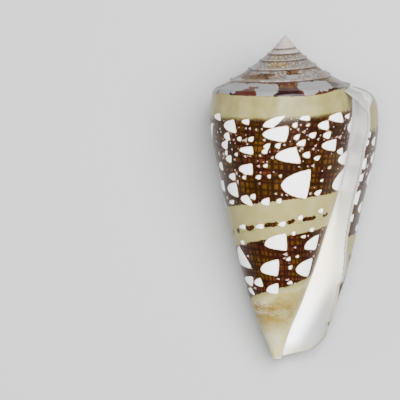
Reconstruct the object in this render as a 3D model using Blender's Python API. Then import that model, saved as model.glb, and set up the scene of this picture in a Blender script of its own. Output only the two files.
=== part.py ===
"""Cone shell, built as the one solid piece that it grew as.

The shell lies on its back with the aperture up.  +Y runs from the narrow
front end to the spire, +Z is up and +X is the side of the outer lip.
"""
import math

import bmesh
import bpy
from mathutils import Vector

# Sizes below are in drawing units; the shell is about 325 of them long.
UNIT = 0.00019

# The coil.  Turn angles are in degrees, 0 at the lip and negative before it.
WHORLS = 8
STEP = 10
GROWTH = 1.45
LIP_RADIUS = 94.0
LIP_AZIMUTH = -30.0
CHANNEL_TURN = 170

# Rows of the profile: ramp, rounded shoulder, body.
RAMP_ROWS = 2
SHOULDER_ROWS = 6
BODY_ROWS = 18
JOIN_ROW = RAMP_ROWS + 2
ROOF_ROW = JOIN_ROW + 3
LAST_ROW = RAMP_ROWS + SHOULDER_ROWS + BODY_ROWS

# Height below the apex, then the radius at the lip side, half a turn
# before it, and a whole turn before it (the columella).
STATIONS = (
    (40.0, 88.0, 71.0, 61.5),
    (60.0, 90.5, 73.0, 62.5),
    (84.0, 93.0, 75.0, 62.4),
    (110.0, 91.0, 72.0, 58.8),
    (135.0, 86.0, 66.7, 54.5),
    (165.0, 78.5, 61.0, 47.5),
    (205.0, 69.5, 51.5, 36.5),
    (245.0, 61.0, 38.5, 25.0),
    (278.0, 52.5, 25.5, 16.5),
    (302.0, 46.5, 14.5, 9.5),
    (319.0, 40.0, 7.2, 6.4),
    (328.0, 36.0, 4.6, 4.8),
)
STATION_TURNS = (-30.0, -210.0, -390.0)
AXIS_DRIFT = 7.5
FRONT_HEIGHT = 326.5
LIP_FRONT_LOSS = 3.0

# The wall of the last whorl, measured at the lip edge and deep inside.
EDGE_WALL = 2.6
INNER_WALL = 24.0
LEAST_GAP = 1.8
ARCH_ROWS = 3

# How the shell lies, and the flat that it rests on.
PITCH = math.radians(11.2)
ROLL = math.radians(0.0)
FLAT_DEPTH = 0.00022


def ease(x):
    """Smooth step from 0 to 1."""
    x = min(max(x, 0.0), 1.0)
    return x * x * (3.0 - 2.0 * x)


def corner_radius(turn):
    """Radius of the shoulder's corner at a turn angle."""
    opening = min((turn + 360.0 * WHORLS + 90.0) / 450.0, 1.0)
    return LIP_RADIUS * GROWTH ** (turn / 360.0) * opening ** 0.5


def corner_height(radius):
    """Depth of the shoulder's corner below the apex."""
    rise = 2.25 * radius ** 0.752 * (1.0 - 0.5 * math.exp(-radius / 6.0))
    return rise - 0.0047 * max(radius - 50.0, 0.0) ** 2


def rounding(turn):
    """Length cut from each side of the shoulder's corner."""
    radius = corner_radius(turn)
    late = ease((turn + 300.0) / 280.0)
    early_cut = min(0.04 * radius + 0.6, 0.14 * radius)
    return early_cut + (0.14 * radius - early_cut) * late


def hermite(xs, ys, x):
    """Smooth curve through a few stations."""
    last = len(xs) - 1
    i = max(k for k in range(last) if x >= xs[k] or k == 0)
    j = min(i + 1, last)
    before = max(i - 1, 0)
    after = min(j + 1, last)
    span = xs[j] - xs[i]
    f = min(max((x - xs[i]) / span, 0.0), 1.0)
    m0 = (ys[j] - ys[before]) / (xs[j] - xs[before]) * span
    m1 = (ys[after] - ys[i]) / (xs[after] - xs[i]) * span
    a = (1.0 + 2.0 * f) * (1.0 - f) ** 2
    b = f * (1.0 - f) ** 2
    c = f * f * (3.0 - 2.0 * f)
    d = f * f * (f - 1.0)
    return a * ys[i] + b * m0 + c * ys[j] + d * m1


HEIGHTS = [row[0] for row in STATIONS]
LOG_RATIOS = [
    [math.log(row[k + 1] / corner_radius(STATION_TURNS[k])) for row in STATIONS]
    for k in range(3)
]


def body_radius(turn, height):
    """Radius of the shell's side at a turn angle and height."""
    lip, half, whole = (hermite(HEIGHTS, logs, height) for logs in LOG_RATIOS)
    x = (turn - STATION_TURNS[1]) / 180.0
    inner = max(-1.0 - x, 0.0)
    x = max(x, -1.0)
    log = half + 0.5 * x * (lip - whole) + 0.5 * x * x * (lip + whole - 2.0 * half)
    log -= 0.25 * inner * max(half - whole, 0.0)
    return corner_radius(turn) * math.exp(log)


def profile_corner(turn):
    """Both ends of the rounded shoulder, and the corner between them."""
    radius = corner_radius(turn)
    height = corner_height(radius)
    cut = rounding(turn)
    corner = Vector((body_radius(turn, height), height))
    below = Vector((body_radius(turn, height + cut), height + cut))
    return corner, below, cut


def bend(a, b, c, f):
    """Point on the curve that runs from a to c and is drawn towards b."""
    return a * (1.0 - f) ** 2 + b * (2.0 * f * (1.0 - f)) + c * f * f


def shoulder_start(turn, join):
    """Where the ramp passes into the rounded shoulder."""
    corner, below, cut = profile_corner(turn)
    inward = join - corner
    reach = min(cut, 0.6 * inward.length)
    return corner + inward.normalized() * reach


def join_point(turn):
    """Radius and height at which the next whorl meets this one."""
    if turn <= -360.0 * WHORLS:
        return Vector((0.0, 0.0))
    corner, below, cut = profile_corner(turn)
    start = shoulder_start(turn, Vector((corner.x * 0.6, corner.y * 0.8)))
    return bend(start, corner, below, (JOIN_ROW - RAMP_ROWS) / SHOULDER_ROWS)


def front_height(turn):
    """Height of the front end, a little short at the lip."""
    return FRONT_HEIGHT - LIP_FRONT_LOSS * ease((turn + 150.0) / 150.0)


def profile(turn, row):
    """Radius and height of one row of the outside at a turn angle."""
    corner, below, cut = profile_corner(turn)
    join = join_point(turn - 360.0)
    start = shoulder_start(turn, join)
    if row <= RAMP_ROWS:
        f = row / RAMP_ROWS
        point = join.lerp(start, f)
        point.y += 0.025 * f * (1.0 - f) * max(start.x - 12.0, 0.0)
        return point
    if row <= RAMP_ROWS + SHOULDER_ROWS:
        return bend(start, corner, below, (row - RAMP_ROWS) / SHOULDER_ROWS)
    x = (row - RAMP_ROWS - SHOULDER_ROWS) / BODY_ROWS
    f = 0.25 * x + 0.375 * (1.0 - math.cos(math.pi * x))
    height = below.y + (front_height(turn) - below.y) * f
    return Vector((body_radius(lip_turn(turn, height), height), height))


def lip_turn(turn, height):
    """Turn angle after the lip is drawn back towards the front end."""
    back = 10.0 * ease((height - 200.0) / 70.0)
    back += 30.0 * max((height - 279.0) / 40.0, 0.0) ** 1.5
    back += 42.0 * max((height - 317.0) / 6.0, 0.0) ** 2
    gap = min(abs(turn), abs(turn + 360.0))
    return turn - min(back, 88.0) * ease(1.0 - gap / CHANNEL_TURN)


def place(turn, radius, height):
    """Point in space from a turn angle, radius and height."""
    azimuth = math.radians(LIP_AZIMUTH - turn)
    drift = AXIS_DRIFT * ease((height - 200.0) / 120.0)
    x = radius * math.cos(azimuth) - drift
    return Vector((x, -height, -radius * math.sin(azimuth))) * UNIT


def outer_point(turn, row):
    """Point of the outside."""
    point = profile(turn, row)
    at = turn
    if row > RAMP_ROWS + SHOULDER_ROWS:
        at = lip_turn(turn, point.y)
    return place(at, point.x, point.y)


def channel_fraction(turn, row):
    """How far across the gap to the previous whorl the inside wall lies."""
    inner = profile(turn - 360.0, row)
    outer = profile(turn, row)
    gap = outer.x - inner.x
    bulk = INNER_WALL * (1.0 - ease((outer.y - 200.0) / 90.0))
    wall = EDGE_WALL + bulk * (1.0 - math.exp(turn / 24.0))
    opening = (gap - wall) * ease((turn + CHANNEL_TURN) / 60.0)
    arch = min((row - ROOF_ROW) / ARCH_ROWS, 1.0)
    opening = max(opening, LEAST_GAP) * math.sqrt(1.0 - (1.0 - arch) ** 2)
    return min(opening / gap, 1.0)


class ShellMesh:
    """Collects the faces of the shell, with each point made once."""

    def __init__(self):
        self.bm = bmesh.new()
        self.points = {}
        self.apex = self.bm.verts.new(place(0.0, 0.0, 0.0))
        self.first = -360 * WHORLS

    def outside(self, turn, row):
        if turn <= self.first:
            return self.apex
        if row == 0:
            return self.outside(turn - 360, JOIN_ROW)
        key = ("outside", turn, row)
        if key not in self.points:
            self.points[key] = self.bm.verts.new(outer_point(turn, row))
        return self.points[key]

    def inside(self, turn, row):
        if row <= ROOF_ROW:
            return self.outside(turn - 360, min(row + JOIN_ROW, ROOF_ROW))
        if turn <= -CHANNEL_TURN:
            return self.outside(turn - 360, row)
        key = ("inside", turn, row)
        if key not in self.points:
            near = self.outside(turn - 360, row).co
            far = self.outside(turn, row).co
            point = near.lerp(far, channel_fraction(turn, row))
            self.points[key] = self.bm.verts.new(point)
        return self.points[key]

    def face(self, *corners):
        """One patch in triangles, with doubled corners left out."""
        kept = [v for i, v in enumerate(corners) if v is not corners[i - 1]]
        for i in range(1, len(kept) - 1):
            self.bm.faces.new((kept[0], kept[i], kept[i + 1]))

    def outer_wall(self):
        rows = [JOIN_ROW] + list(range(JOIN_ROW))
        self.face(*(self.outside(self.first + STEP, row) for row in rows))
        for turn in range(self.first + STEP, 0, STEP):
            last = LAST_ROW if turn >= -360 else JOIN_ROW
            self.strip(turn, 0, last)
        for turn in range(-360 - CHANNEL_TURN, -360, STEP):
            self.strip(turn, ROOF_ROW, LAST_ROW)

    def strip(self, turn, first, last):
        for row in range(first, last):
            self.face(
                self.outside(turn, row),
                self.outside(turn, row + 1),
                self.outside(turn + STEP, row + 1),
                self.outside(turn + STEP, row),
            )

    def channel(self):
        for turn in range(-CHANNEL_TURN, 0, STEP):
            for row in range(ROOF_ROW, LAST_ROW):
                self.face(
                    self.inside(turn, row),
                    self.inside(turn + STEP, row),
                    self.inside(turn + STEP, row + 1),
                    self.inside(turn, row + 1),
                )

    def lip_edge(self):
        for row in range(0, LAST_ROW):
            self.face(
                self.outside(0, row),
                self.outside(0, row + 1),
                self.inside(0, row + 1),
                self.inside(0, row),
            )

    def front_end(self):
        for turn in range(-CHANNEL_TURN, 0, STEP):
            self.face(
                self.outside(turn, LAST_ROW),
                self.inside(turn, LAST_ROW),
                self.inside(turn + STEP, LAST_ROW),
                self.outside(turn + STEP, LAST_ROW),
            )
        turns = range(-360 - CHANNEL_TURN, -CHANNEL_TURN + STEP, STEP)
        ring = [self.outside(turn, LAST_ROW) for turn in turns]
        middle = sum((v.co for v in ring), Vector()) / len(ring)
        tip = self.bm.verts.new(middle + Vector((0.0, -1.5 * UNIT, 0.0)))
        for i, vert in enumerate(ring):
            self.face(vert, tip, ring[(i + 1) % len(ring)])


def settle(bm):
    """Lay the shell down, cut its resting flat and centre it on the floor."""
    sin_p, cos_p = math.sin(PITCH), math.cos(PITCH)
    sin_r, cos_r = math.sin(ROLL), math.cos(ROLL)
    for vert in bm.verts:
        x, y, z = vert.co
        x, z = x * cos_r + z * sin_r, z * cos_r - x * sin_r
        vert.co = (x, y * cos_p - z * sin_p, y * sin_p + z * cos_p)
    floor = min(v.co.z for v in bm.verts) + FLAT_DEPTH
    for vert in bm.verts:
        vert.co.z = max(vert.co.z, floor)
    low = [min(v.co[k] for v in bm.verts) for k in range(3)]
    high = [max(v.co[k] for v in bm.verts) for k in range(3)]
    middle = Vector(((low[0] + high[0]) / 2, (low[1] + high[1]) / 2, floor))
    for vert in bm.verts:
        vert.co -= middle


def shell_material():
    """Polished brown and cream shell, in one plain finish."""
    material = bpy.data.materials.new("polished_shell")
    material.use_nodes = True
    shader = material.node_tree.nodes["Principled BSDF"]
    shader.inputs["Base Color"].default_value = (0.33, 0.22, 0.13, 1.0)
    shader.inputs["Roughness"].default_value = 0.28
    return material


def build_shell():
    """The whole shell as one closed mesh object."""
    work = ShellMesh()
    work.outer_wall()
    work.channel()
    work.lip_edge()
    work.front_end()
    bmesh.ops.recalc_face_normals(work.bm, faces=work.bm.faces)
    settle(work.bm)
    mesh = bpy.data.meshes.new("shell")
    work.bm.to_mesh(mesh)
    work.bm.free()
    shell = bpy.data.objects.new("shell", mesh)
    shell.data.materials.append(shell_material())
    bpy.context.collection.objects.link(shell)
    return shell


for old in list(bpy.data.objects):
    bpy.data.objects.remove(old)
build_shell()
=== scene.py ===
"""A polished cone shell lying on its back, with the shell of the frame replaced by a finer one."""
import math
from functools import cache
from itertools import product

import bmesh
import bpy
from bpy.props import FloatProperty, FloatVectorProperty, PointerProperty
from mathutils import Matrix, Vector, noise


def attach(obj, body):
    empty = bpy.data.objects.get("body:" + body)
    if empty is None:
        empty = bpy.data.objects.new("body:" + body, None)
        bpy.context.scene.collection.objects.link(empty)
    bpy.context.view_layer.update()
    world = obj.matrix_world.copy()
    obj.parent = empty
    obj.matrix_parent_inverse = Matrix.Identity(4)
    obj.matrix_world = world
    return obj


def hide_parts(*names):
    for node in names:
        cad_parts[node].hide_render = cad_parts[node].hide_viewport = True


bl_info = {
    "name": "Cone Shell",
    "version": (1, 0, 0),
    "blender": (4, 5, 0),
    "location": "View3D > Sidebar > Cone Shell",
    "description": "Models a polished cone shell with tent marks and its studio",
    "category": "Add Mesh",
}

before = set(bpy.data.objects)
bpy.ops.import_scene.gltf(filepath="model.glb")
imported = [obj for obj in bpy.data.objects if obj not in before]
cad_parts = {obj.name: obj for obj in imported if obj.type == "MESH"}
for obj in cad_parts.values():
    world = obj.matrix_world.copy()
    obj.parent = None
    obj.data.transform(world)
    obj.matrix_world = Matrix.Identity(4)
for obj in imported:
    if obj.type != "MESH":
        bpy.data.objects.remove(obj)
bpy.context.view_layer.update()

# Sizes below are in drawing units of 0.19 mm; the shell is about 325 long.
UNIT = 0.00019

# The coil. Turn angles are in degrees, 0 at the lip and negative before it.
WHORLS = 8
COLUMNS = 200
STEP = 360.0 / COLUMNS
FIRST = -WHORLS * COLUMNS
GROWTH = 1.45
SPIRE_FULLNESS = 0.08
LIP_RADIUS = 94.0
CORNER_RISE = 2.25
CORNER_POWER = 0.752
CORNER_DROOP = 0.0047
LIP_AZIMUTH = -30.0
CHANNEL_TURN = 170.0
CHANNEL = -int(CHANNEL_TURN / STEP) - 1

# Rows of the profile: ramp, rounded shoulder, body.
RAMP_ROWS = 10
SHOULDER_ROWS = 12
BODY_ROWS = 128
JOIN_ROW = RAMP_ROWS + 4
ROOF_ROW = RAMP_ROWS + 10
CORNER_ROW = RAMP_ROWS + SHOULDER_ROWS
LAST_ROW = CORNER_ROW + BODY_ROWS
EDGE_FACES = 6

# Height below the apex, then the radius at the lip side, half a turn
# before it, and a whole turn before it (the columella).
STATIONS = (
    (40, 88, 71, 65),
    (60, 90.5, 73, 67),
    (84, 93, 75, 67.2),
    (110, 91, 72, 63.8),
    (135, 86, 66.7, 59.2),
    (165, 78.5, 61, 51.8),
    (205, 70, 51.5, 40.8),
    (245, 61.5, 38.5, 29),
    (278, 52.5, 25.5, 19.5),
    (302, 46.5, 14.5, 11),
    (319, 40, 6.8, 6.2),
    (328, 36, 3.8, 3.8),
)
STATION_TURNS = (-30, -210, -390)
AXIS_DRIFT = 7.5
FRONT_HEIGHT = 326.5
LIP_FRONT_LOSS = 3.0

# The wall of the last whorl, measured at the lip edge and deep inside.
EDGE_WALL = 2.6
INNER_WALL = 24.0
LEAST_GAP = 1.8
ARCH_REACH = 9.0

# Cuts on the shoulder's corner, as shares of its radius. Height of the older whorls' rims,
# and how many times that the knobs add.
LATE_CUT = 0.14
EARLY_CUT = 0.04
RIM_HEIGHT = 0.9
KNOB_HEIGHT = 2.4

# How far the lip is drawn back at the suture.
NOTCH = 15.0

# How far the lip stands forward along its middle.
LIP_SWELL = 5.0

# Steps chipped out of the lip: height, how deep, and the length over which
# the edge comes out again.
CHIPS = ((246.0, 3.2, 26.0), (286.0, 4.5, 18.0))

# Width of the white behind the lip on the ramp.
LIP_WHITE = 24.0

# How the shell lies, and the flat that it rests on.
PITCH = math.radians(11.2)
FLAT_DEPTH = 0.00022

# Spiral lines between the bands: heights at these angles back from the lip.
LINE_TURNS = (0, 60, 150, 230, 300, 390)
LINES = (
    (60, 61, 64, 57.5, 56.4, 54.7),
    (91, 89.5, 87, 80, 77.2, 71.5),
    (201, 195, 184, 172, 162.3, 155.8),
    (219, 213, 206.5, 192.5, 181.3, 173.6),
    (227, 221.5, 213, 198.5, 187, 177.5),
    (240, 233.5, 224, 209.5, 197.8, 187.5),
    (303, 295.5, 281, 262.5, 250.5, 236),
    (330,) * 6,
)

# White tents: turn and height of the nose, then how far back and up the top corner lies,
# and how far back and down the low one.
TENTS_FRONT = (
    (-210, 229, 14, 18, 28, 4), (-215, 245, 19, 3.5, 15, 6.5), (-221, 255, 6.5, 1.5, 11, 6.5),
    (-226, 80, 13, 3.5, 15, 3.5), (-229, 167, 12, 3.5, 10, 1), (-232, 153, 18, 8, 18, 7),
    (-234, 207, 8.5, 3, 7, 2), (-236, 108, 12, 5, 9.5, 4), (-239, 116, 5.5, 2.5, 4.5, 2.5),
    (-239, 122, 11, 4.5, 8.5, 3.5), (-239, 140, 11, 4.5, 10, 3), (-240, 191, 11, 3.5, 10, 1.5),
    (-241, 99, 8, 4.5, 10, 3.5), (-242, 88, 15, 7, 18, 6.5), (-244, 248, 8.5, 6, 10, 3),
    (-252, 161, 9.5, 4, 16, 7), (-253, 116, 4.5, 2, 3.5, 2), (-255, 131, 18, 6.5, 17, 5),
    (-257, 100, 5.5, 2.5, 5, 2.5), (-258, 139, 5, 2, 4.5, 2), (-259, 111, 16, 4, 17, 4),
    (-261, 234, 20, 12, 17, 5), (-262, 82, 8.5, 2.5, 8, 3), (-265, 158, 6.5, 3, 5.5, 3),
    (-266, 255, 11, 8, 11, 3), (-266, 189, 10, 3.5, 9.5, 1.5), (-268, 100, 6.5, 3, 5.5, 2),
    (-273, 138, 6.5, 2.5, 5.5, 2), (-275, 207, 23, 12, 23, 5.5), (-277, 164, 9, 5.5, 8.5, 2.5),
    (-281, 86, 23, 11, 10, 1), (-281, 94, 25, 8.5, 25, 7.5), (-281, 112, 6.5, 2.5, 6, 2),
    (-282, 126, 5, 2, 4.5, 2), (-283, 107, 6.5, 4, 5.5, 2), (-285, 137, 4, 2, 3.5, 1.5),
    (-293, 162, 6, 3, 5.5, 2), (-293, 105, 5, 2, 5, 3.5), (-294, 117, 20, 10, 27, 6.5),
    (-295, 186, 7, 3.5, 7, 2), (-297, 136, 3, 1.5, 2.5, 2), (-299, 146, 30, 16, 28, 14),
    (-302, 222, 4, 2.5, 4, 1.5), (-303, 247, 3.5, 2.5, 6, 1), (-304, 231, 4.5, 3, 3, 1.5),
    (-305, 85, 5, 3, 5, 2.5), (-308, 97, 5.5, 3, 5, 3), (-312, 104, 8, 4.5, 9, 2),
    (-310, 195, 5, 2, 4.5, 2), (-311, 78, 11, 2.5, 11, 2.5), (-316, 219, 3.5, 1.5, 3.5, 1.5),
    (-317, 85, 4, 1.5, 3.5, 1.5), (-317, 233, 19, 11, 18, 8.5), (-317, 180, 6, 3.5, 6, 1.5),
    (-319, 115, 7.5, 3, 8.5, 3.5), (-321, 95, 7.5, 2.5, 7, 3.5), (-324, 199, 5.5, 1.5, 5, 1.5),
    (-328, 86, 12, 4.5, 14, 5), (-330, 211, 17, 13, 16, 2.5), (-331, 119, 7.5, 2.5, 5, 2.5),
    (-334, 192, 7, 2, 6.5, 2.5), (-335, 96, 9.5, 3.5, 10, 4), (-336, 155, 8.5, 3.5, 5.5, 2.5),
    (-337, 106, 18, 5, 21, 7), (-339, 79, 18, 4.5, 24, 6), (-341, 142, 4, 1.5, 4, 1.5),
    (-344, 174, 7, 3, 8, 2), (-348, 129, 6, 1, 5, 2), (-359, 114, 10, 3, 13, 4),
    (-361, 149, 28, 17, 26, 7), (-361, 79, 12, 1.5, 11, 3.5), (-363, 123, 28, 8.5, 27, 7),
    (-369, 91, 23, 8.5, 22, 7.5), (-376, 82, 16, 0.5, 16, 3.5),
)
TENTS_BACK = (
    (-60, 269, 19, 5, 22, 6.5), (-68, 245, 4.5, 6.5, 5.5, 13), (-69, 175, 14, 5, 11, 1.5),
    (-78, 103, 15, 5.5, 13, 3.5), (-78, 114, 13, 4, 11, 3.5), (-81, 284, 14, 7.5, 14, 3),
    (-83, 258, 6, 1, 8, 5.5), (-85, 176, 6, 3.5, 5, 2.5), (-87, 235, 11, 6, 8.5, 3),
    (-89, 188, 3.5, 2, 7.5, 3), (-89, 215, 8.5, 4, 9, 1.5), (-90, 115, 10, 3.5, 8.5, 2.5),
    (-93, 109, 7.5, 3.5, 6.5, 2.5), (-94, 179, 6, 3, 5, 2.5), (-96, 101, 7.5, 3.5, 5.5, 2),
    (-97, 129, 21, 7.5, 19, 8.5), (-97, 165, 14, 9, 21, 10), (-104, 187, 14, 9, 15, 3),
    (-104, 258, 4, 2, 6, 2), (-106, 91, 14, 4, 14, 3), (-108, 107, 6.5, 2.5, 6.5, 1.5),
    (-108, 214, 9.5, 4, 10, 2), (-109, 241, 11, 5, 9.5, 4), (-114, 286, 9.5, 7.5, 11, 1.5),
    (-116, 144, 16, 10, 28, 11), (-116, 268, 13, 9, 18, 5), (-117, 98, 19, 7, 28, 10),
    (-117, 112, 9.5, 4, 8.5, 3.5), (-117, 122, 9, 3, 8, 4), (-117, 158, 5, 2, 4, 2),
    (-118, 159, 4, 2.5, 3.5, 2), (-119, 130, 6.5, 2.5, 5.5, 1.5), (-124, 175, 8, 5, 8.5, 4.5),
    (-124, 255, 3.5, 2, 5, 0.5), (-129, 112, 10, 4, 9, 4), (-129, 210, 5, 2, 7, 1.5),
    (-131, 231, 11, 7, 17, 2.5), (-134, 128, 9.5, 5, 9, 3.5), (-135, 138, 3.5, 1.5, 3, 1.5),
    (-135, 184, 14, 7, 16, 3.5), (-137, 98, 6, 2.5, 9, 5), (-138, 212, 6, 2.5, 8, 1.5),
    (-139, 155, 6.5, 4, 11, 2), (-139, 155, 6, 3, 11, 3), (-140, 121, 12, 3.5, 11, 4),
    (-141, 90, 5, 1.5, 11, 5), (-143, 255, 11, 6.5, 9, -1.5), (-144, 113, 8, 3.5, 12, 4),
    (-146, 127, 4.5, 2, 4.5, 2.5), (-146, 168, 22, 11, 25, 8), (-148, 97, 6, 2, 5.5, 3),
    (-149, 223, 8, 7.5, 11, 2), (-149, 206, 8.5, 6.5, 10, 4.5), (-150, 262, 4.5, 1.5, 4, 1.5),
    (-150, 191, 5.5, 4, 10, 3), (-154, 198, 3.5, 5, 6.5, 4.5), (-155, 126, 6, 2, 5.5, 2),
    (-156, 108, 15, 6.5, 21, 6), (-156, 155, 4.5, 3.5, 6.5, 2.5), (-156, 120, 4.5, 2, 4, 1.5),
    (-156, 154, 5.5, 2.5, 7, 2), (-157, 97, 6, 1.5, 5.5, 2.5), (-157, 237, 16, 10, 13, -1),
    (-158, 273, 11, 9, 9, -2), (-163, 90, 8, 2.5, 8, 2.5), (-163, 245, 15, 11, 21, -2),
    (-165, 180, 13, 7.5, 12, 3.5), (-169, 152, 4, 2, 3.5, 1.5), (-169, 257, 11, 7, 8.5, -0.5),
    (-171, 160, 4.5, 2, 4, 2.5), (-171, 160, 5, 2, 4.5, 2), (-172, 204, 5, 2, 6.5, 1.5),
    (-173, 165, 5, 2, 6, 3), (-174, 165, 5, 2.5, 5.5, 2.5), (-178, 93, 22, 10, 27, 8.5),
    (-179, 130, 33, 24, 26, 11), (-181, 261, 9, 6.5, 8, -2), (-182, 181, 10, 5.5, 10, 2.5),
    (-182, 223, 15, 8.5, 16, 2), (-183, 271, 13, 8.5, 7, 0.5), (-187, 200, 11, 4, 16, 3),
    (-195, 170, 14, 10, 22, 4), (-196, 178, 4.5, 3, 5.5, 2), (-196, 254, 8, 4, 9, 0),
    (-199, 144, 15, 5.5, 15, 5.5), (-204, 101, 25, 14, 11, 3.5), (-208, 151, 18, 6, 18, 6),
    (-220, 131, 11, 5, 11, 4),
)
# More of the same on the strip behind the lip.
TENTS_LIP = (
    (-8, 104, 9, 5, 11, 5), (-12, 122, 12, 7, 10, 5), (-30, 96, 14, 6, 16, 6), (-34, 118, 9, 4, 9, 4),
    (-52, 108, 12, 5, 14, 6), (-14, 142, 16, 9, 15, 8), (-38, 146, 24, 13, 25, 10), (-58, 134, 9, 4, 9, 4),
    (-10, 172, 12, 7, 13, 5), (-26, 178, 10, 4, 10, 5), (-50, 172, 16, 8, 15, 6), (-62, 160, 8, 4, 8, 3),
    (-14, 192, 9, 4, 10, 4), (-40, 195, 9, 4, 8, 3), (-20, 216, 11, 4, 10, 2), (-52, 218, 10, 4, 9, 2),
    (-12, 252, 14, 8, 15, 6), (-35, 262, 16, 9, 14, 6), (-30, 244, 9, 3, 8, 3), (-55, 252, 12, 5, 14, 6),
    (-18, 284, 10, 5, 12, 5), (-44, 286, 12, 7, 12, 3), (3, 96, 9, 3, 10, 3), (3, 104, 9, 2.5, 10, 3),
    (4, 125, 13, 6, 14, 6), (3, 139, 11, 4, 11, 4), (4, 160, 15, 8, 14, 7), (3, 180, 9, 4, 9, 4),
)

# Where the pattern ends against the white of the aperture.
WHITE_HEIGHTS = (50, 100, 150, 200, 245, 275, 292, 307, 319, 330)
WHITE_TURNS = (-389, -384, -388, -372, -366, -364, -352, -353, -326, -300)

# Brown dashes in the thin band between the two cream ones: turn where each starts and ends.
DASHES = (
    (-6, -17), (-24, -30), (-41, -55), (-60, -74), (-79, -94), (-97, -113), (-118, -149), (-163, -176),
    (-179, -196), (-202, -212), (-219, -225), (-233, -240), (-252, -265), (-278, -295), (-305, -315),
    (-324, -343), (-354, -365), (-377, -386),
)

# White blotches on the last ramp: turn, place across the ramp (-1 suture, 0 rim),
# half length, half width.
RAMP_BLOTCHES = (
    (-12, -0.35, 11, 0.45), (-40, -0.15, 12, 0.3), (-62, -0.75, 10, 0.25), (-83, -0.05, 6, 0.13),
    (-98, -0.15, 10, 0.25), (-123, -0.3, 11, 0.42), (-149, -0.1, 9, 0.2), (-166, -0.3, 13, 0.26),
    (-180, -0.1, 9, 0.2), (-196, -0.1, 6, 0.15), (-220, -0.1, 7, 0.25), (-238, -0.2, 9, 0.35),
    (-243, -0.55, 19, 0.45), (-266, -0.8, 12, 0.15), (-282, -0.4, 11, 0.5), (-322, -0.5, 10, 0.5),
    (-338, -0.5, 15, 0.42),
)

# The last band of the ruler, where the marks end in the white of the aperture.
LAST_BAND = float(len(LINES) - 1)

# How far whiteness runs on either side of the white's edge, and how far over the lip's rim.
WHITE_REACH = 12.0
RIM_WHITE = 2.5

# Patches of the coil that are searched together for marks: degrees of turn and length.
PATCH_TURN = 6
PATCH_LENGTH = 8

# A mark's depth where no mark is near, and how far outside a tent it is still measured.
NO_MARK = -6.0
MARK_REACH = 8.0

# The open front end is drawn to a point in two rings: how much of its size each keeps,
# and how far ahead it lies.
FRONT_RINGS = ((0.62, 1.4), (0.0, 0.4))

# The three lights: name, place, width and length, and power as a share of the one that is set.
LIGHTS = (
    ("key", (0.13, 0.02, 0.48), (0.30, 0.40), 2.4),
    ("overhead", (0.03, 0.05, 0.62), (0.10, 0.60), 1.5),
    ("side", (-0.40, 0.15, 0.30), (0.15, 0.50), 0.35),
)
LIT_POINT = Vector((0.0, 0.0, 0.012))
SKY_COLOUR = (0.9, 0.92, 0.95, 1.0)
SKY_STRENGTH = 0.3
FLOOR_SIZE = 3.0

# Focal length of the camera in millimetres, and the point that it looks at.
CAMERA_LENS = 568.0
CAMERA_TARGET = (-0.0179, -0.0006, 0.0146)

# Colours of the ground, the bands and the tents.
REDDISH_BROWN = (0.062, 0.017, 0.0055)
SHOULDER_CREAM = (0.168, 0.146, 0.052)
PALE_CREAM = (0.265, 0.238, 0.108)
SMALL_TENTS = (0.41, 0.31, 0.28)
TENT_EDGE = (0.2, 0.11, 0.02)
DOTTED_LINE = (0.045, 0.022, 0.01)

# Colours of the spire.
MAROON = (0.011, 0.0028, 0.0025)
RED_MAROON = (0.038, 0.0095, 0.0055)
GOLDEN = (0.08, 0.04, 0.007)
GREY_WHITE = (0.148, 0.142, 0.144)
STRAW = (0.2, 0.17, 0.085)
WEB_BROWN = (0.075, 0.04, 0.012)
RIM_GREY = (0.2, 0.188, 0.168)
APEX_PINK = (0.31, 0.265, 0.25)
SEAM_BROWN = (0.035, 0.022, 0.018)

# Colours of the front end and the aperture.
SPECKS = (0.5, 0.47, 0.29)
WIDE_STAIN = (0.24, 0.165, 0.035)
STAIN = (0.15, 0.082, 0.013)
YELLOW_FRINGE = (0.46, 0.38, 0.13)
LILAC_WHITE = (0.6, 0.57, 0.56)
BLUISH_WHITE = (0.84, 0.87, 0.88)
# Painted shade on the lip side of the aperture's front.
PAINTED_SHADE_WHITE = (0.25, 0.24, 0.235)
FRONT_EDGE = (0.33, 0.3, 0.19)
# Painted shade at the top of the aperture, by the suture.
TOP_PAINTED_SHADE = (0.33, 0.32, 0.31)
# Painted shade along the lip's edge, which would otherwise catch the light.
LIP_PAINTED_SHADE = (0.24, 0.23, 0.215)
BLACK = (0.0, 0.0, 0.0)


def ease(x):
    """Smooth step from 0 to 1."""
    x = min(max(x, 0.0), 1.0)
    return x * x * (3.0 - 2.0 * x)


def corner_radius(turn):
    """Radius of the shoulder's corner at a turn angle."""
    opening = min((turn + 360.0 * WHORLS + 90.0) / 450.0, 1.0)
    spire = 1.0 + SPIRE_FULLNESS * ease((-290.0 - turn) / 150.0)
    return LIP_RADIUS * GROWTH ** (turn / 360.0) * opening ** 0.5 * spire


def corner_height(radius):
    """Depth of the shoulder's corner below the apex."""
    rise = CORNER_RISE * radius ** CORNER_POWER * (1.0 - 0.5 * math.exp(-radius / 6.0))
    return rise - CORNER_DROOP * max(radius - 50.0, 0.0) ** 2


def rounding(turn):
    """Length cut from each side of the shoulder's corner."""
    radius = corner_radius(turn)
    late = ease((turn + 300.0) / 280.0)
    late_cut = LATE_CUT * radius
    early_cut = min(EARLY_CUT * radius + 0.6, late_cut)
    return early_cut + (late_cut - early_cut) * late


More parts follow.
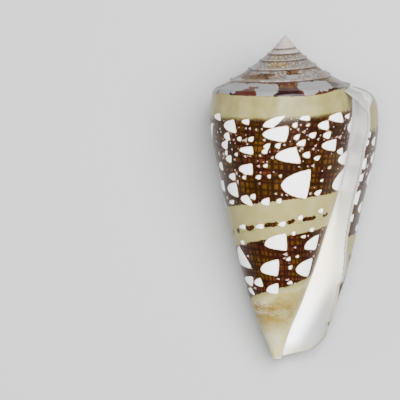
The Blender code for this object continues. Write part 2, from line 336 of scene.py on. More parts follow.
def hermite(xs, ys, x):
    """Smooth curve through a few stations."""
    last = len(xs) - 1
    i = max(k for k in range(last) if x >= xs[k] or k == 0)
    j = i + 1
    before = max(i - 1, 0)
    after = min(j + 1, last)
    span = xs[j] - xs[i]
    f = min(max((x - xs[i]) / span, 0.0), 1.0)
    m0 = (ys[j] - ys[before]) / (xs[j] - xs[before]) * span
    m1 = (ys[after] - ys[i]) / (xs[after] - xs[i]) * span
    a = (1.0 + 2.0 * f) * (1.0 - f) ** 2
    b = f * (1.0 - f) ** 2
    c = f * f * (3.0 - 2.0 * f)
    d = f * f * (f - 1.0)
    return a * ys[i] + b * m0 + c * ys[j] + d * m1


HEIGHTS = [row[0] for row in STATIONS]
LOG_RATIOS = [
    [math.log(row[k + 1] / corner_radius(STATION_TURNS[k])) for row in STATIONS]
    for k in range(3)
]


def body_radius(turn, height):
    """Radius of the shell's side at a turn angle and height."""
    lip, half, whole = (hermite(HEIGHTS, logs, height) for logs in LOG_RATIOS)
    x = (turn - STATION_TURNS[1]) / 180.0
    inner = max(-1.0 - x, 0.0)
    x = max(x, -1.0)
    log = half + 0.5 * x * (lip - whole) + 0.5 * x * x * (lip + whole - 2.0 * half)
    log -= 0.25 * inner * max(half - whole, 0.0)
    return corner_radius(turn) * math.exp(log)


@cache
def profile_corner(turn):
    """The shoulder's corner, the body end of its rounding, and the length cut off the corner."""
    radius = corner_radius(turn)
    height = corner_height(radius)
    cut = rounding(turn)
    corner = Vector((body_radius(turn, height), height))
    below = Vector((body_radius(turn, height + cut), height + cut))
    return corner, below, cut


def bend(a, b, c, f):
    """Point on the curve that runs from a to c and is drawn towards b."""
    return a * (1.0 - f) ** 2 + b * (2.0 * f * (1.0 - f)) + c * f * f


def shoulder_start(turn, join):
    """Where the ramp passes into the rounded shoulder."""
    corner, _, cut = profile_corner(turn)
    inward = join - corner
    return corner + inward.normalized() * min(cut, 0.6 * inward.length)


@cache
def join_point(turn):
    """Radius and height at which the next whorl meets this one."""
    if turn <= -360.0 * WHORLS:
        return Vector((0.0, 0.0))
    corner, below, _ = profile_corner(turn)
    start = shoulder_start(turn, Vector((corner.x * 0.6, corner.y * 0.8)))
    return bend(start, corner, below, (JOIN_ROW - RAMP_ROWS) / SHOULDER_ROWS)


def front_height(turn):
    """Height of the front end, a little short at the lip."""
    return FRONT_HEIGHT - LIP_FRONT_LOSS * ease((turn + 150.0) / 150.0)


@cache
def profile(turn, row):
    """Radius and height of one row of the outside at a turn angle."""
    corner, below, _ = profile_corner(turn)
    join = join_point(turn - 360.0)
    start = shoulder_start(turn, join)
    if row <= RAMP_ROWS:
        f = row / RAMP_ROWS
        point = join.lerp(start, f)
        point.y += 0.025 * f * (1.0 - f) * max(start.x - 12.0, 0.0)
        return point
    if row <= CORNER_ROW:
        return bend(start, corner, below, (row - RAMP_ROWS) / SHOULDER_ROWS)
    x = (row - CORNER_ROW) / BODY_ROWS
    height = below.y + (front_height(turn) - below.y) * (0.6 * x + 0.2 * (1.0 - math.cos(math.pi * x)))
    return Vector((body_radius(lip_turn(turn, height), height), height))


def lip_turn(turn, height):
    """Turn angle after the lip is drawn back towards the front end."""
    back = 10.0 * ease((height - 200.0) / 70.0)
    back += 30.0 * max((height - 279.0) / 40.0, 0.0) ** 1.5
    back += 42.0 * max((height - 317.0) / 6.0, 0.0) ** 2
    back -= LIP_SWELL * ease((height - 85.0) / 30.0) * ease((250.0 - height) / 60.0)
    gap = min(abs(turn), abs(turn + 360.0))
    return turn - min(back, 88.0) * ease(1.0 - gap / CHANNEL_TURN)


def chip(turn, height):
    """How far the edge of the lip is chipped inwards."""
    near = ease(1.0 + turn / 10.0)
    steps = (
        depth * ease((height - start) / 2.5) * (1.0 - ease((height - start) / length))
        for start, depth, length in CHIPS
    )
    return near * sum(steps)


def place(turn, radius, height):
    """Point in drawing units from a turn angle, radius and height."""
    azimuth = math.radians(LIP_AZIMUTH - turn)
    drift = AXIS_DRIFT * ease((height - 200.0) / 120.0)
    x = radius * math.cos(azimuth) - drift
    return Vector((x, -height, -radius * math.sin(azimuth)))


def notch_turn(turn, row):
    """Turn angle after the lip is drawn back on the ramp, into the notch at the suture."""
    if turn > -180.0:
        share = 1.0 - ease(row / CORNER_ROW)
    else:
        share = 1.0 - ease((row - JOIN_ROW) / (CORNER_ROW - JOIN_ROW))
    gap = min(abs(turn), abs(turn + 360.0))
    return turn - NOTCH * share * ease(1.0 - gap / 70.0)


def rim_relief(turn, row):
    """The raised rim of the older whorls, with its small knobs."""
    older = ease((-250.0 - turn) / 110.0)
    hump = math.exp(-((row - RAMP_ROWS - 1.0) / 1.6) ** 2)
    if older * hump < 0.01:
        return Vector()
    knobs = noise.noise(Vector((turn * 0.09, 2.0, 0.0))) + 0.6 * noise.noise(Vector((turn * 0.3, 5.0, 0.0)))
    size = min(0.02 * corner_radius(turn) + 0.1, RIM_HEIGHT) * older * hump
    size *= 1.0 + KNOB_HEIGHT * max(knobs, -0.35)
    azimuth = math.radians(LIP_AZIMUTH - turn)
    return Vector((math.cos(azimuth), 0.7, -math.sin(azimuth))) * size


def outside(column, row):
    """Point of the outside, from the apex on."""
    if column <= FIRST:
        return place(0.0, 0.0, 0.0)
    if row == 0:
        return outside(column - COLUMNS, JOIN_ROW)
    turn = column * STEP
    if row > CORNER_ROW:
        point = profile(turn, row)
        return place(lip_turn(turn, point.y), point.x - chip(turn, point.y), point.y)
    turn = notch_turn(turn, row)
    point = profile(turn, row)
    return place(turn, point.x, point.y) + rim_relief(turn, row)


def channel_fraction(column, row):
    """How far across the gap to the previous whorl the inside wall lies."""
    turn = column * STEP
    inner = profile(turn - 360.0, row)
    outer = profile(turn, row)
    gap = outer.x - inner.x
    bulk = INNER_WALL * (1.0 - ease((outer.y - 200.0) / 90.0))
    wall = EDGE_WALL + bulk * (1.0 - math.exp(turn / 14.0))
    opening = (gap - wall) * ease((turn + CHANNEL_TURN) / 60.0)
    arch = min((outer.y - profile(turn, ROOF_ROW).y) / ARCH_REACH, 1.0)
    opening = max(opening, LEAST_GAP) * math.sqrt(1.0 - (1.0 - arch) ** 2)
    return min(opening / gap, 1.0)


def inside(column, row):
    """Point of the wall that faces the aperture."""
    if row <= ROOF_ROW:
        return outside(column - COLUMNS, min(row + JOIN_ROW, ROOF_ROW))
    if column <= CHANNEL:
        return outside(column - COLUMNS, row)
    near = outside(column - COLUMNS, row)
    far = outside(column, row)
    return near.lerp(far, channel_fraction(column, row))


def edge(column, row, step):
    """Point of the rounded edge that joins the outside and the inside wall."""
    outer, inner = outside(column, row), inside(column, row)
    point = outer.lerp(inner, step / EDGE_FACES)
    swell = math.sqrt(1.0 - (2.0 * step / EDGE_FACES - 1.0) ** 2)
    swell *= min(0.5 * (outer - inner).length, 0.5 * EDGE_WALL)
    swell *= ease((row - ROOF_ROW) / 8.0) * ease((column - CHANNEL) / 8.0)
    azimuth = math.radians(LIP_AZIMUTH - column * STEP)
    forward = Vector((math.sin(azimuth), 0.0, math.cos(azimuth)))
    front = Vector((0.0, -1.0, 0.0))
    lean = ease((row - LAST_ROW + 6) / 6.0)
    return point + forward.lerp(front, lean) * swell


def down(turn, row):
    """Length along the profile, equal to the height on the body."""
    point = profile(turn, row)
    if row >= CORNER_ROW:
        return point.y
    below = profile(turn, CORNER_ROW)
    return below.y - (point - below).length


class Ruler:
    """Band coordinate along the profile: -1 suture, 0 shoulder line, then one for each line."""

    def __init__(self, turn):
        self.lines = [hermite(LINE_TURNS, line, min(-turn, 400.0)) for line in LINES]
        self.rim = down(turn, JOIN_ROW)
        if turn > -361.0:
            self.lines[0] = self.rim + (self.lines[0] - self.rim) * ease((turn + 360.0) / 40.0)
            self.rim = self.lines[0]
        self.suture = down(turn, 0)

    def band(self, length, ramp):
        """Band at a length along the profile; ramp says whether it may lie above the rim."""
        if ramp and length <= self.rim:
            return (length - self.rim) / max(self.rim - self.suture, 0.01)
        for k in range(len(self.lines) - 1):
            if length < self.lines[k + 1]:
                return max(k + (length - self.lines[k]) / (self.lines[k + 1] - self.lines[k]), 0.0)
        return LAST_BAND


ruler = cache(Ruler)


class Patchwork:
    """A mesh put together from grids that are wrapped onto the shell."""

    def __init__(self):
        self.bm = bmesh.new()
        self.uv = self.bm.loops.layers.uv.new("coil")
        floats = self.bm.verts.layers.float
        self.turn, self.length, self.white = (floats.new(name) for name in ("turn", "length", "white"))

    def add(self, columns, rows, point, facts):
        """Wraps one grid; facts gives turn, length, band and whiteness of a corner."""
        across, high = columns[1] - columns[0], rows[1] - rows[0]
        made = bmesh.ops.create_grid(self.bm, x_segments=across, y_segments=high, size=0.5)
        known = {}
        for vert in made["verts"]:
            column = columns[0] + round((vert.co.x + 0.5) * across)
            row = rows[0] + round((vert.co.y + 0.5) * high)
            vert.co = point(column, row)
            turn, length, band, white = facts(column, row)
            vert[self.turn], vert[self.length], vert[self.white] = turn, length, white
            known[vert] = (turn / 360.0, band)
        for face in {face for vert in made["verts"] for face in vert.link_faces}:
            for loop in face.loops:
                loop[self.uv].uv = known[loop.vert]

    def close_front(self):
        """Draws the open ring at the front end together to a point."""
        ring = [e for e in self.bm.edges if e.is_boundary]
        middle = sum((e.verts[0].co + e.verts[1].co for e in ring), Vector()) / (2 * len(ring))
        for shrink, ahead in FRONT_RINGS:
            made = bmesh.ops.extrude_edge_only(self.bm, edges=ring)["geom"]
            verts = [g for g in made if isinstance(g, bmesh.types.BMVert)]
            for vert in verts:
                vert.co = middle + (vert.co - middle) * shrink + Vector((0.0, -ahead, 0.0))
            ring = [g for g in made if isinstance(g, bmesh.types.BMEdge)]
        bmesh.ops.pointmerge(self.bm, verts=verts, merge_co=verts[0].co)


def surface_facts(column, row):
    """Turn, length, band and whiteness of a corner on the outside."""
    turn = column * STEP if row > CORNER_ROW else notch_turn(column * STEP, row)
    length = down(turn, row)
    band = ruler(turn).band(length, row <= JOIN_ROW or column > -COLUMNS)
    scale = math.radians(profile(turn, row).x)
    white = (hermite(WHITE_HEIGHTS, WHITE_TURNS, length) - turn) * scale
    if row > CORNER_ROW:
        if turn > -180.0:
            white = max(turn * scale + 1.0, -WHITE_REACH)
        if turn > -300.0:
            white = max(white, length - front_height(turn))
    elif turn > -180.0:
        behind = LIP_WHITE * (1.0 - ease((row - JOIN_ROW) / (CORNER_ROW - JOIN_ROW)))
        white = max(column * STEP * scale + behind, -WHITE_REACH)
    if row <= JOIN_ROW and column <= -COLUMNS:
        white = -WHITE_REACH
    return turn, length, band, min(max(white, -WHITE_REACH), WHITE_REACH)


def inner_facts(column, row):
    """The same for the wall that faces the aperture."""
    turn = column * STEP
    return turn, down(turn, row), LAST_BAND, WHITE_REACH


def lip_facts(step, row):
    """The same for the rounded edge of the lip."""
    return 0.0, down(0.0, row), LAST_BAND, RIM_WHITE * step / EDGE_FACES


def rim_facts(column, step):
    """The same for the rounded edge of the front end."""
    return column * STEP, FRONT_HEIGHT, LAST_BAND, RIM_WHITE * step / EDGE_FACES


def lay_down(bm):
    """Turns the shell onto its back, cuts the flat and centres it on the floor."""
    cos_p, sin_p = math.cos(PITCH), math.sin(PITCH)
    for vert in bm.verts:
        x, y, z = vert.co * UNIT
        vert.co = (x, y * cos_p - z * sin_p, y * sin_p + z * cos_p)
    floor = min(v.co.z for v in bm.verts) + FLAT_DEPTH
    for vert in bm.verts:
        vert.co.z = max(vert.co.z, floor)
    low = [min(v.co[k] for v in bm.verts) for k in range(3)]
    high = [max(v.co[k] for v in bm.verts) for k in range(3)]
    middle = Vector(((low[0] + high[0]) / 2, (low[1] + high[1]) / 2, floor))
    bmesh.ops.translate(bm, vec=-middle, verts=bm.verts)


def tent_outline(back, rise, low_back, drop):
    """Corners of one tent round its blunt nose, in lengths along the coil and the profile."""
    nose, top, low = Vector((0.0, 0.0)), Vector((back, -rise)), Vector((low_back, drop))
    sides = (
        (nose, Vector((0.1 * back, -0.72 * rise)), top),
        (top, top.lerp(low, 0.5) + Vector((0.07 * (rise + drop), 0.0)), low),
        (low, Vector((0.1 * low_back, 0.72 * drop)), nose),
    )
    return [bend(a, b, c, k / 5.0) for a, b, c in sides for k in range(5)]


def depth_inside(corners, x, y):
    """Distance of a point to a closed outline, positive inside it."""
    nearest, crossings = 1e9, False
    for i, b in enumerate(corners):
        a = corners[i - 1]
        dx, dy = b.x - a.x, b.y - a.y
        f = min(max(((x - a.x) * dx + (y - a.y) * dy) / max(dx * dx + dy * dy, 1e-9), 0.0), 1.0)
        nearest = min(nearest, math.hypot(x - a.x - dx * f, y - a.y - dy * f))
        if (a.y > y) != (b.y > y) and x < a.x + (y - a.y) * dx / dy:
            crossings = not crossings
    return nearest if crossings else -nearest


def mark_tents(bm, turn_layer, length_layer):
    """Stores how deep each vertex lies inside a white tent or a blotch, and inside a dash."""
    marks = bm.verts.layers.float.new("tents")
    dash = bm.verts.layers.float.new("dash")
    patches = {}
    for vert in bm.verts:
        vert[marks] = vert[dash] = NO_MARK
        patch = (int(vert[turn_layer] // PATCH_TURN), int(vert[length_layer] // PATCH_LENGTH))
        patches.setdefault(patch, []).append(vert)
    for turn, height, back, rise, low_back, drop in TENTS_FRONT + TENTS_BACK + TENTS_LIP:
        outline = tent_outline(back, rise, low_back, drop)
        scale = math.radians(body_radius(turn, height))
        first = int((turn - (max(back, low_back) + MARK_REACH) / scale) // PATCH_TURN)
        last = int((turn - NO_MARK / scale) // PATCH_TURN)
        top = int((height - rise - MARK_REACH) // PATCH_LENGTH)
        bottom = int((height + drop + MARK_REACH) // PATCH_LENGTH)
        for i, j in product(range(first, last + 1), range(top, bottom + 1)):
            for vert in patches.get((i, j), ()):
                x, y = (turn - vert[turn_layer]) * scale, vert[length_layer] - height
                vert[marks] = max(vert[marks], depth_inside(outline, x, y))
    for vert in bm.verts:
        turn, length = vert[turn_layer], vert[length_layer]
        if length < 64.0 and turn > -361.0:
            here = ruler(round(turn / STEP) * STEP).band(length, True)
            for middle, across, half_length, half_width in RAMP_BLOTCHES:
                away = math.hypot((turn - middle) / half_length, (here - across) / half_width)
                vert[marks] = max(vert[marks], (1.0 - away) * 8.0)
        scale = math.radians(body_radius(turn, max(length, 60.0)))
        for start, end in DASHES:
            if start + 10 > turn > end - 10:
                vert[dash] = max(vert[dash], min(start - turn, turn - end) * scale)


def build_mesh():
    """The whole shell as one closed mesh with its pattern's facts."""
    work = Patchwork()
    work.add((FIRST, -COLUMNS), (0, JOIN_ROW), outside, surface_facts)
    work.add((-COLUMNS, 0), (0, LAST_ROW), outside, surface_facts)
    work.add((CHANNEL - COLUMNS, -COLUMNS), (ROOF_ROW, LAST_ROW), outside, surface_facts)
    work.add((CHANNEL, 0), (ROOF_ROW, LAST_ROW), inside, inner_facts)
    work.add((0, EDGE_FACES), (0, LAST_ROW), lambda step, row: edge(0, row, step), lip_facts)
    work.add((CHANNEL, 0), (0, EDGE_FACES), lambda column, step: edge(column, LAST_ROW, step), rim_facts)
    bm = work.bm
    bmesh.ops.remove_doubles(bm, verts=bm.verts, dist=2e-4)
    bmesh.ops.dissolve_degenerate(bm, edges=bm.edges, dist=1e-5)
    work.close_front()
    bmesh.ops.recalc_face_normals(bm, faces=bm.faces)
    mark_tents(bm, work.turn, work.length)
    lay_down(bm)
    mesh = bpy.data.meshes.new("shell_finish")
    bm.to_mesh(mesh)
    closed = all(e.is_manifold for e in bm.edges)
    bm.free()
    if not closed:
        raise RuntimeError("the shell's mesh has open edges")
    mesh.shade_smooth()
    return mesh


class Value:
    """A number socket that takes part in Python expressions."""

    def __init__(self, paint, socket):
        self.paint, self.socket = paint, socket

    def math(self, operation, *others, first=None):
        """One Math node; first is given when this number isn't the first operand."""
        parts = [self if first is None else first, *others]
        node = self.paint.make("Math", {"operation": operation}, dict(enumerate(parts)))
        return Value(self.paint, node.outputs[0])

    def __add__(self, other):
        return self.math("ADD", other)

    def __sub__(self, other):
        return self.math("SUBTRACT", other)

    def __rsub__(self, other):
        return self.math("SUBTRACT", self, first=other)

    def __mul__(self, other):
        return self.math("MULTIPLY", other)

    def __truediv__(self, other):
        return self.math("DIVIDE", other)

    def __rtruediv__(self, other):
        return self.math("DIVIDE", self, first=other)

    def __abs__(self):
        return self.math("ABSOLUTE")

    __radd__ = __add__
    __rmul__ = __mul__

    def low(self, other):
        """The smaller of the two."""
        return self.math("MINIMUM", other)

    def high(self, other):
        """The larger of the two."""
        return self.math("MAXIMUM", other)

    def wave(self):
        """0 at whole numbers, 1 halfway between them."""
        return self.math("FRACT").math("PINGPONG", 0.5) * 2.0

    def step(self, start, end):
        """0 below start, 1 above end, smooth between; with start the larger one, 1 below end."""
        node = self.paint.make(
            "MapRange",
            {"interpolation_type": "SMOOTHSTEP"},
            {"Value": self, "From Min": min(start, end), "From Max": max(start, end)},
        )
        found = Value(self.paint, node.outputs["Result"])
        return found if start < end else 1.0 - found


class Colour:
    """A colour or vector socket."""

    def __init__(self, paint, socket):
        self.paint, self.socket = paint, socket

    def into(self, other, factor):
        """This colour turning into another where factor is 1."""
        return self.paint.blend(self, other, factor)

    def scaled(self, factor):
        """This vector made longer."""
        node = self.paint.make("VectorMath", {"operation": "SCALE"}, {0: self, "Scale": factor})
        return Colour(self.paint, node.outputs["Vector"])

    def part(self, axis):
        """One of the vector's three numbers."""
        node = self.paint.make("SeparateXYZ", {}, {0: self})
        return Value(self.paint, node.outputs[axis])


class Paint:
    """Makes the nodes of one material."""

    def __init__(self, name):
        self.material = bpy.data.materials.new(name)
        self.material.use_nodes = True
        self.tree = self.material.node_tree
        self.shader = self.tree.nodes["Principled BSDF"]

    def make(self, kind, settings, inputs):
        """One node: its settings first, then the values or links of its sockets."""
        node = self.tree.nodes.new("ShaderNode" + kind)
        for name, value in settings.items():
            setattr(node, name, value)
        for name, value in inputs.items():
            self.feed(node.inputs[name], value)
        return node

    def feed(self, socket, value):
        """Links or sets one socket; a colour is given by three numbers."""
        if isinstance(value, (Value, Colour)):
            self.tree.links.new(value.socket, socket)
        elif socket.type == "RGBA":
            socket.default_value = (*value, 1.0)
        else:
            socket.default_value = value

    def surface(self, **inputs):
        """Values or links of the shader's sockets, by name with _ for a space."""
        for name, value in inputs.items():
            self.feed(self.shader.inputs[name.replace("_", " ")], value)

    def blend(self, first, second, factor):
        """The first colour where factor is 0, the second where it is 1."""
        node = self.make("Mix", {"data_type": "RGBA"}, {0: factor, 6: first, 7: second})
        return Colour(self, node.outputs[2])

    def fact(self, name):
        """A number stored at the mesh's vertices."""
        return Value(self, self.make("Attribute", {"attribute_name": name}, {}).outputs["Fac"])

    def xyz(self, x, y, z):
        """A vector from three numbers."""
        return Colour(self, self.make("CombineXYZ", {}, {"X": x, "Y": y, "Z": z}).outputs[0])

    def noise(self, vector, scale=1.0, detail=2.0, roughness=0.5):
        """Cloudy noise from 0 to 1."""
        inputs = {"Vector": vector, "Scale": scale, "Detail": detail, "Roughness": roughness}
        return Value(self, self.make("TexNoise", {}, inputs).outputs["Fac"])


def girth(length):
    """About how far it is round the shell at a length along the profile, never under 50."""
    return (length * -2.0 + 610.0).high(50.0)


class ShellPaint(Paint):
    """The polished shell: brown net, cream bands, white tents and white aperture."""

    def __init__(self, look):
        super().__init__("polished_shell")
        self.look = look
        coil = Colour(self, self.make("UVMap", {"uv_map": "coil"}, {}).outputs[0])
        # Whole turns from the lip, negative before it, and the ruler's band.
        self.turn, self.band = coil.part("X"), coil.part("Y")
        where = Colour(self, self.make("TexCoord", {}, {}).outputs["Object"])
        self.place = where.scaled(1.0 / UNIT)
        self.length, self.white = self.fact("length"), self.fact("white")
        self.wobble = self.noise(self.place, 0.22, 3.0) - 0.5
        self.fine = self.noise(self.place, 0.9) - 0.5
        self.grain = self.noise(self.place, 0.045, 3.0)
        self.growth = self.streaks(75.0, self.length * 0.012, 0.0, 3.0, 0.6)
        self.teeth = self.streaks(70.0, 1.0, 9.0) - 0.5
        self.on_back = self.turn.step(-0.62, -0.5)
        self.on_ramp = self.band.step(0.4, 0.2)
        self.older = self.turn.step(-0.95, -1.1)
        self.front_cream = self.band.step(6.02, 6.12)
        torn = (self.noise(self.place, 0.2, 4.0, 0.6) - 0.5) * self.on_ramp * 9.0
        self.tent_depth = self.fact("tents") + self.wobble * 0.8 + torn

    def streaks(self, crowd, beside, seed, detail=2.0, roughness=0.5):
        """Noise on the unrolled coil, crowded along the turn."""
        return self.noise(self.xyz(self.turn * crowd, beside, seed), 1.0, detail, roughness)

    def ground(self):
        """Ochre and reddish cells under a dark net of growth lines and spiral lines."""
        dark, turn, fine = self.look.dark_brown, self.turn, self.fine
        spiral = self.streaks(3.0, self.length * 0.19, 7.0, 2.0, 0.6)
        bold = (self.noise(self.place, 0.06) - 0.5) * 0.7
        axial_lines = (turn * 58.0 + self.growth * 1.7).wave() - bold + fine * 0.7
        spiral_lines = (self.length / 6.3 + spiral * 1.5 + turn * 2.0).wave() - bold + fine * 0.7
        net = axial_lines.step(0.85, 0.22).high(spiral_lines.step(0.78, 0.18))
        patchy = self.noise(self.place, 0.07, 3.0, 0.6).step(0.42, 0.60)
        colour = self.blend(self.look.ochre, REDDISH_BROWN, self.grain.step(0.44, 0.56))
        return colour.into(dark, net * 0.85).into(dark, patchy * 0.6)

    def cream(self):
        """Cream of the bands, a little darker on the shoulder and paler in streaks."""
        streaky = self.streaks(24.0, self.band, 3.0, 3.0).step(0.35, 0.75) * self.band.step(6.6, 6.0)
        colour = self.blend(SHOULDER_CREAM, self.look.cream, self.band.step(1.2, 1.8))
        return colour.into(PALE_CREAM, streaky * 0.7)

    def in_bands(self):
        """1 on the cream: the shoulder, the two middle bands with their dashed gap, and the front."""
        band = self.band + self.wobble * 0.06
        frayed = band + (self.noise(self.place, 0.16, 4.0, 0.75) - 0.5) * self.on_back * 0.45
        shoulder = (band + self.teeth * 0.12).step(-0.01, 0.02) * frayed.step(1.05, 0.95)
        central = band.step(1.98, 2.0) * band.step(3.03, 2.97)
        second = band.step(3.93, 4.03) * band.step(5.02, 4.94)
        between = band.step(2.97, 3.03) * band.step(4.03, 3.93)
        across = abs(self.band - 3.5 + (self.streaks(22.0, 2.0, 4.0) - 0.5) * 1.1)
        thickness = (self.fact("dash") * 0.18 + 0.10).low(0.40) + self.fine * 0.3
        gaps = between * (across - thickness).step(-0.06, 0.06)
        return shoulder.high(central).high(second).high(band.step(5.98, 6.02)).high(gaps)

    def small_tents(self, shift, spread, size, share):
        """Scattered small tents, laid out on the unrolled coil with their noses the same way."""
        turn = self.turn + shift
        flat = self.xyz((turn + 0.55) * girth(self.length), self.length, 0.0)
        settings = {"voronoi_dimensions": "2D", "feature": "F1"}
        inputs = {"Vector": flat, "Scale": 1.0 / spread, "Randomness": 0.85}
        node = self.make("TexVoronoi", settings, inputs)
        spot, chance = Colour(self, node.outputs["Position"]), Colour(self, node.outputs["Color"])
        spot_length = spot.part("Y")
        spot_turn = spot.part("X") / girth(spot_length) - 0.55
        behind = (spot_turn - turn) * girth(self.length)
        beside = abs(self.length - spot_length)
        here = (chance.part("X") * 0.6 + 0.5) * size
        there = (share - chance.part("Y")).step(-0.02, 0.02)
        sides = (behind + here * 0.55) * 0.6 - beside
        wedge = sides.low(here * 0.45 - behind).low(here * 0.55 - beside)
        return wedge.step(-0.3, 0.3) * there

    def sprinkle(self):
        """1 on the small tents, which are crowded in the middle of the shell."""
        band = self.band
        crowd = band.step(1.75, 1.25).high(band.step(1.85, 2.0) * band.step(4.9, 1.9)) * 0.25 + 0.09
        crowd = crowd * (self.grain.step(0.36, 0.6) * 0.9 + 0.35)
        return self.small_tents(0.0, 9.0, 4.2, crowd * 0.8).high(
            self.small_tents(0.31, 5.5, 2.3, crowd * 1.5)
        )

    def body(self):
        """The ground with its tents and bands, and the dotted line on the back."""
        dark, depth, band = self.look.dark_brown, self.tent_depth, self.band
        clear = depth.step(-1.2, -2.2) * band.step(-0.02, 0.05)
        body = self.ground().into(dark, depth.step(-2.2, -1.0) * 0.8)
        body = body.into(SMALL_TENTS, self.sprinkle() * clear * 0.9)
        body = body.into(TENT_EDGE, depth.step(-1.1, -0.5) * 0.6)
        body = body.into(self.cream(), self.in_bands())
        dots = self.streaks(110.0, 5.0, 8.0, 2.0, 0.7).step(0.42, 0.55)
        line = abs(band - 2.60 + self.wobble * 0.05).step(0.035, 0.015)
        dotted = line * dots * self.on_back * self.turn.step(-0.05, -0.2)
        body = body.into(DOTTED_LINE, dotted * 0.8)
        return body.into(self.look.tents, depth.step(-0.45, 0.45) * (1.0 - self.on_ramp))

    def spire(self):
        """The ramps: maroon under golden streaks, grey-white blotches, fine web, rims and seams."""
        turn, band, grain, older = self.turn, self.band, self.grain, self.older
        spire = self.blend(MAROON, RED_MAROON, grain.step(0.45, 0.6))
        streak = self.streaks(60.0, band * 1.5, 1.0, 3.0, 0.6).step(0.44, 0.60)
        spire = spire.into(GOLDEN, streak * band.step(-0.25, -0.75).high(older * 0.8) * 0.85)
        blotch = self.streaks(9.0, band * 1.4, 5.0) + turn.step(-2.0, -2.7) * 0.16 + 0.02
        blotch = blotch.step(0.49, 0.52) * older
        spire = spire.into(GREY_WHITE, blotch.high(self.tent_depth.step(-0.45, 0.45)))
        spire = spire.into(STRAW, grain.step(0.5, 0.62) * turn.step(-1.9, -2.3) * 0.7)
        web = self.make("TexVoronoi", {"feature": "DISTANCE_TO_EDGE"}, {"Vector": self.place, "Scale": 0.26})
        web = Value(self, web.outputs["Distance"]) + self.fine * 0.16
        netted = self.noise(self.place, 0.05).step(0.34, 0.46) * older * turn.step(-5.2, -4.2)
        spire = spire.into(WEB_BROWN, web.step(0.17, 0.07) * netted * 0.8)
        rim = (band + self.fine * 0.5).step(-0.22, -0.12) * older
        spire = spire.into(RIM_GREY, rim * 0.4)
        spire = spire.into(APEX_PINK, turn.step(-4.3, -5.2) * 0.85)
        ramp_width = (turn * -math.log(GROWTH)).math("EXPONENT") * 0.06
        seam = ((band + 1.0) / ramp_width + self.wobble * 1.2).step(1.5, 0.6)
        seam = seam * turn.step(-0.02, -0.08) * turn.step(-6.0, -5.0)
        return spire.into(SEAM_BROWN, seam * 0.8)

    def stained(self, body):
        """Pale specks and an ochre stain on the front cream."""
        turn, length, fine, grain = self.turn, self.length, self.fine, self.grain
        smear = self.streaks(9.0, length * 0.16, 2.0, 4.0, 0.7)
        zone = turn.step(-0.97, -0.86) * turn.step(-0.5, -0.62)
        specks = (grain + fine * 0.8).step(0.42, 0.62).high(length.step(286.0, 304.0))
        body = body.into(SPECKS, specks * self.front_cream * 0.7)
        wide = (smear + fine).step(0.42, 0.60) * zone * length.step(310.0, 286.0)
        body = body.into(WIDE_STAIN, wide * self.front_cream * 0.8)
        middle = length.step(260.0, 276.0) * length.step(292.0, 278.0)
        return body.into(STAIN, (smear + fine * 0.9).step(0.38, 0.60) * zone * middle * 0.9)

    def porcelain(self, painted_shade):
        """White of the aperture: lilac behind, cream-white in the middle, bluish at the front, with painted
        shade on the lip side of the front, at the top and along the lip's edge.
        """
        turn, length, white = self.turn, self.length, self.white
        porcelain = self.blend(LILAC_WHITE, self.look.porcelain, length.step(130.0, 225.0))
        porcelain = porcelain.into(BLUISH_WHITE, length.step(250.0, 290.0))
        porcelain = porcelain.into(PAINTED_SHADE_WHITE, painted_shade * 0.85)
        front_edge = turn.step(-0.45, -0.3) * length.step(308.0, 321.0)
        porcelain = porcelain.into(FRONT_EDGE, front_edge * 0.7)
        # Painted shade at the top of the aperture.
        porcelain = porcelain.into(TOP_PAINTED_SHADE, length.step(86.0, 58.0) * 0.8)
        # Painted shade along the lip's edge and the white just inside it.
        lip_shade_mask = white.step(6.0, 2.0) * turn.step(-0.6, -0.4)
        return porcelain.into(LIP_PAINTED_SHADE, (white.step(5.0, 0.5) * 0.45).high(lip_shade_mask * 0.9))

    def finish(self):
        """Joins the colours and sets the shader."""
        band, length = self.band, self.length
        below_rim = band.step(-0.03, 0.0) * (1.0 - self.older).high(band.step(0.02, 0.03))
        body = self.stained(self.spire().into(self.body(), below_rim))
        # Painted shade: the lip side of the aperture's front is greyed in colour and loses its glow.
        outward = self.place.part("X") - self.place.part("Y") * 0.55 - 84.0
        painted_shade = outward.step(-10.0, 8.0) * length.step(225.0, 275.0)
        porcelain = self.porcelain(painted_shade)
        inner = (self.white + self.wobble * 0.4) / (length.step(238.0, 275.0) * 2.6 + 0.4)
        body = body.into(YELLOW_FRINGE, inner.step(-3.5, -0.5) * self.front_cream * 0.7)
        # Painted glow of the aperture: emission that lights its shaded trough in place of light through the
        # thin wall; it is off outside the white, weaker towards the top and off in the painted shade.
        unlit = self.white.step(12.0, 0.0).high(length.step(225.0, 120.0) * 0.33)
        relief = self.growth * 0.6 + self.fine * 0.4
        bump = self.make("Bump", {}, {"Strength": 0.10, "Distance": 0.0002, "Height": relief})
        self.surface(
            Base_Color=body.into(porcelain, inner.step(-1.0, 1.0)),
            Emission_Color=porcelain.into(BLACK, unlit.high(painted_shade * 0.85)),
            Emission_Strength=self.look.painted_glow,
            Roughness=self.look.roughness,
            Specular_IOR_Level=0.09,
            Coat_Weight=0.08,
            Coat_Roughness=0.08,
            Normal=Colour(self, bump.outputs["Normal"]),
        )
        return self.material


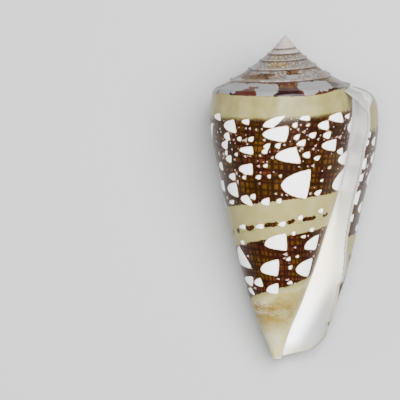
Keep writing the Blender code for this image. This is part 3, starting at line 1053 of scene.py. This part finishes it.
class ConeShellLook(bpy.types.PropertyGroup):
    """Colours and finish of the shell."""

    dark_brown: FloatVectorProperty(
        name="Dark Brown", description="Net on the ground", default=(0.0078, 0.0016, 0.0006), subtype="COLOR"
    )
    ochre: FloatVectorProperty(
        name="Ochre", description="Cells of the brown ground", default=(0.068, 0.031, 0.003), subtype="COLOR"
    )
    cream: FloatVectorProperty(
        name="Cream", description="Bands round the shell", default=(0.222, 0.193, 0.072), subtype="COLOR"
    )
    tents: FloatVectorProperty(
        name="Tents", description="White of the tent marks", default=(0.93, 0.92, 0.95), subtype="COLOR"
    )
    porcelain: FloatVectorProperty(
        name="Porcelain", description="White of the aperture", default=(0.93, 0.88, 0.78), subtype="COLOR"
    )
    # A painted glow: emission that brightens the aperture's shaded trough, standing in for light through the
    # thin wall.
    painted_glow: FloatProperty(
        name="Glow", description="Light that comes through the wall into the aperture", default=0.9, min=0.0
    )
    roughness: FloatProperty(
        name="Roughness", description="Roughness of the polished surface", default=0.3, min=0.02, max=1.0
    )


class ConeShellStudio(bpy.types.PropertyGroup):
    """Floor, lights and camera."""

    floor: FloatVectorProperty(
        name="Floor", description="Colour of the floor", default=(0.36, 0.36, 0.356), subtype="COLOR"
    )
    power: FloatProperty(
        name="Light", description="Power that the three lights are multiples of", default=3.3, unit="POWER"
    )
    distance: FloatProperty(
        name="Camera Distance", description="From the camera to the shell", default=1.2, unit="LENGTH"
    )
    elevation: FloatProperty(
        name="Camera Elevation", description="Above the floor", default=math.radians(84.8), subtype="ANGLE"
    )


def put(context, name, data):
    """A new object in the scene."""
    thing = bpy.data.objects.new(name, data)
    context.collection.objects.link(thing)
    return thing


class CONESHELL_OT_shell(bpy.types.Operator):
    """Build the shell"""

    bl_idname = "coneshell.shell"
    bl_label = "Shell"

    def execute(self, context):
        mesh = build_mesh()
        mesh.materials.append(ShellPaint(context.scene.cone_shell_look).finish())
        shell = put(context, "shell_finish", mesh)
        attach(shell, "root")
        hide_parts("shell")
        return {"FINISHED"}


class CONESHELL_OT_studio(bpy.types.Operator):
    """Build the floor, lights and camera"""

    bl_idname = "coneshell.studio"
    bl_label = "Studio"

    def execute(self, context):
        look = context.scene.cone_shell_studio
        self.lay_floor(context, look.floor)
        for name, spot, size, share in LIGHTS:
            light = bpy.data.lights.new(name, "AREA")
            light.shape = "RECTANGLE"
            light.size, light.size_y = size
            light.energy = look.power * share
            lamp = put(context, name, light)
            lamp.location = spot
            lamp.rotation_euler = (LIT_POINT - Vector(spot)).to_track_quat("-Z", "Y").to_euler()
        world = bpy.data.worlds.new("studio")
        world.use_nodes = True
        sky = world.node_tree.nodes["Background"].inputs
        sky["Color"].default_value = SKY_COLOUR
        sky["Strength"].default_value = SKY_STRENGTH
        context.scene.world = world
        self.set_camera(context, look)
        return {"FINISHED"}

    def lay_floor(self, context, colour):
        """A plain square floor under the shell."""
        bm = bmesh.new()
        bmesh.ops.create_grid(bm, x_segments=1, y_segments=1, size=FLOOR_SIZE)
        mesh = bpy.data.meshes.new("floor")
        bm.to_mesh(mesh)
        bm.free()
        paint = Paint("floor")
        paint.surface(Base_Color=colour, Roughness=0.8)
        mesh.materials.append(paint.material)
        floor = put(context, "floor", mesh)

    def set_camera(self, context, look):
        """A long lens that looks down on the shell."""
        camera = bpy.data.cameras.new("camera")
        camera.lens = CAMERA_LENS
        camera.clip_start = 0.01
        eye = put(context, "camera", camera)
        back = Vector((0.0, -math.cos(look.elevation), math.sin(look.elevation)))
        eye.location = Vector(CAMERA_TARGET) + back * look.distance
        eye.rotation_euler = (math.pi / 2 - look.elevation, 0.0, 0.0)
        context.scene.camera = eye


class CONESHELL_PT_sidebar(bpy.types.Panel):
    """Shows the shell's look and studio settings and the two build buttons"""

    bl_label = "Cone Shell"
    bl_idname = "CONESHELL_PT_sidebar"
    bl_space_type = "VIEW_3D"
    bl_region_type = "UI"
    bl_category = "Cone Shell"

    def draw(self, context):
        layout = self.layout
        for group in (context.scene.cone_shell_look, context.scene.cone_shell_studio):
            for name in type(group).__annotations__:
                layout.prop(group, name)
        for operator in OPERATORS:
            layout.operator(operator.bl_idname)


GROUPS = (ConeShellLook, ConeShellStudio)
OPERATORS = (CONESHELL_OT_shell, CONESHELL_OT_studio)
CLASSES = (*GROUPS, *OPERATORS, CONESHELL_PT_sidebar)


def register():
    for cls in CLASSES:
        bpy.utils.register_class(cls)
    bpy.types.Scene.cone_shell_look = PointerProperty(type=ConeShellLook)
    bpy.types.Scene.cone_shell_studio = PointerProperty(type=ConeShellStudio)


def unregister():
    del bpy.types.Scene.cone_shell_look
    del bpy.types.Scene.cone_shell_studio
    for cls in reversed(CLASSES):
        bpy.utils.unregister_class(cls)


def main():
    register()
    bpy.ops.coneshell.shell()
    bpy.ops.coneshell.studio()


if __name__ == "__main__":
    main()
